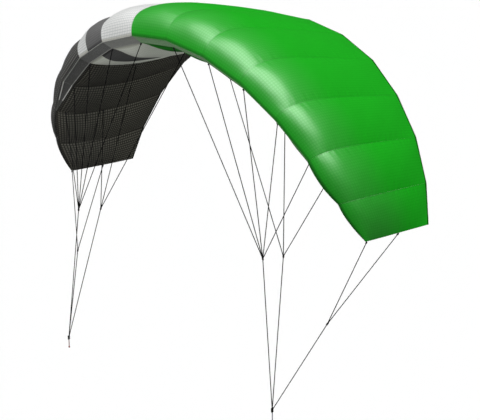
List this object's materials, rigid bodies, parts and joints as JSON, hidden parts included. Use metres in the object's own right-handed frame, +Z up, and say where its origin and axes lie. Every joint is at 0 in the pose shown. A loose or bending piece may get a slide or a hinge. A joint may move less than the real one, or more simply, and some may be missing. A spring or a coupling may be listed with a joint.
{
  "type": "trainer kite",
  "caption": "Inflated ram-air foil kite with cloth cells between ribs, mesh air intakes along the nose, and a cascaded line bridle at each side ending in a stoppered tow point.",
  "frame": {"origin": "the crown of the middle cell, on the outer face of its upper skin a quarter of the chord back, where the air lifts the kite", "axes": "+X across the span to the green tip, +Y from the leading edge to the trailing edge, +Z up, away from the bridles"},
  "size_m": [1.5478, 0.66, 1.298],
  "materials": {
    "charcoal": "dark ripstop nylon with a light coated sheen",
    "grey": "dark grey ripstop nylon with a light coated sheen",
    "white": "white ripstop nylon with a light coated sheen",
    "green": "green ripstop nylon with a light coated sheen",
    "mesh": "open knitted polyester mesh",
    "cord": "braided polyester line"
  },
  "bodies": {
    "root": {"upper_01": "charcoal", "lower_01": "charcoal", "upper_02": "charcoal", "lower_02": "charcoal", "upper_03": "charcoal", "lower_03": "charcoal", "intake_03": "mesh", "upper_04": "charcoal", "lower_04": "charcoal", "intake_04": "mesh", "upper_05_strip": "white", "upper_05": "grey", "lower_05_strip": "white", "lower_05": "grey", "intake_05": "mesh", "upper_06": "white", "lower_06": "white", "intake_06": "mesh", "upper_07": "green", "lower_07": "green", "intake_07": "mesh", "upper_08": "green", "lower_08": "green", "intake_08": "mesh", "upper_09": "green", "lower_09": "green", "intake_09": "mesh", "upper_10": "green", "lower_10": "green", "intake_10": "mesh", "upper_11": "green", "lower_11": "green", "intake_11": "mesh", "upper_12": "green", "lower_12": "green", "upper_13": "green", "lower_13": "green", "rib_01": "white", "rib_02": "white", "rib_03": "white", "rib_04": "white", "rib_05": "white", "rib_06": "white", "rib_07": "white", "rib_08": "white", "rib_09": "white", "rib_10": "white", "rib_11": "white", "rib_12": "white", "rib_13": "white", "rib_14": "white", "bridle_front_dark": "cord", "bridle_rear_dark": "cord", "bridle_tip_dark": "cord", "bridle_tow_dark": "cord", "bridle_front_green": "cord", "bridle_rear_green": "cord", "bridle_tip_green": "cord", "bridle_tow_green": "cord"}
  },
  "joints": []
}
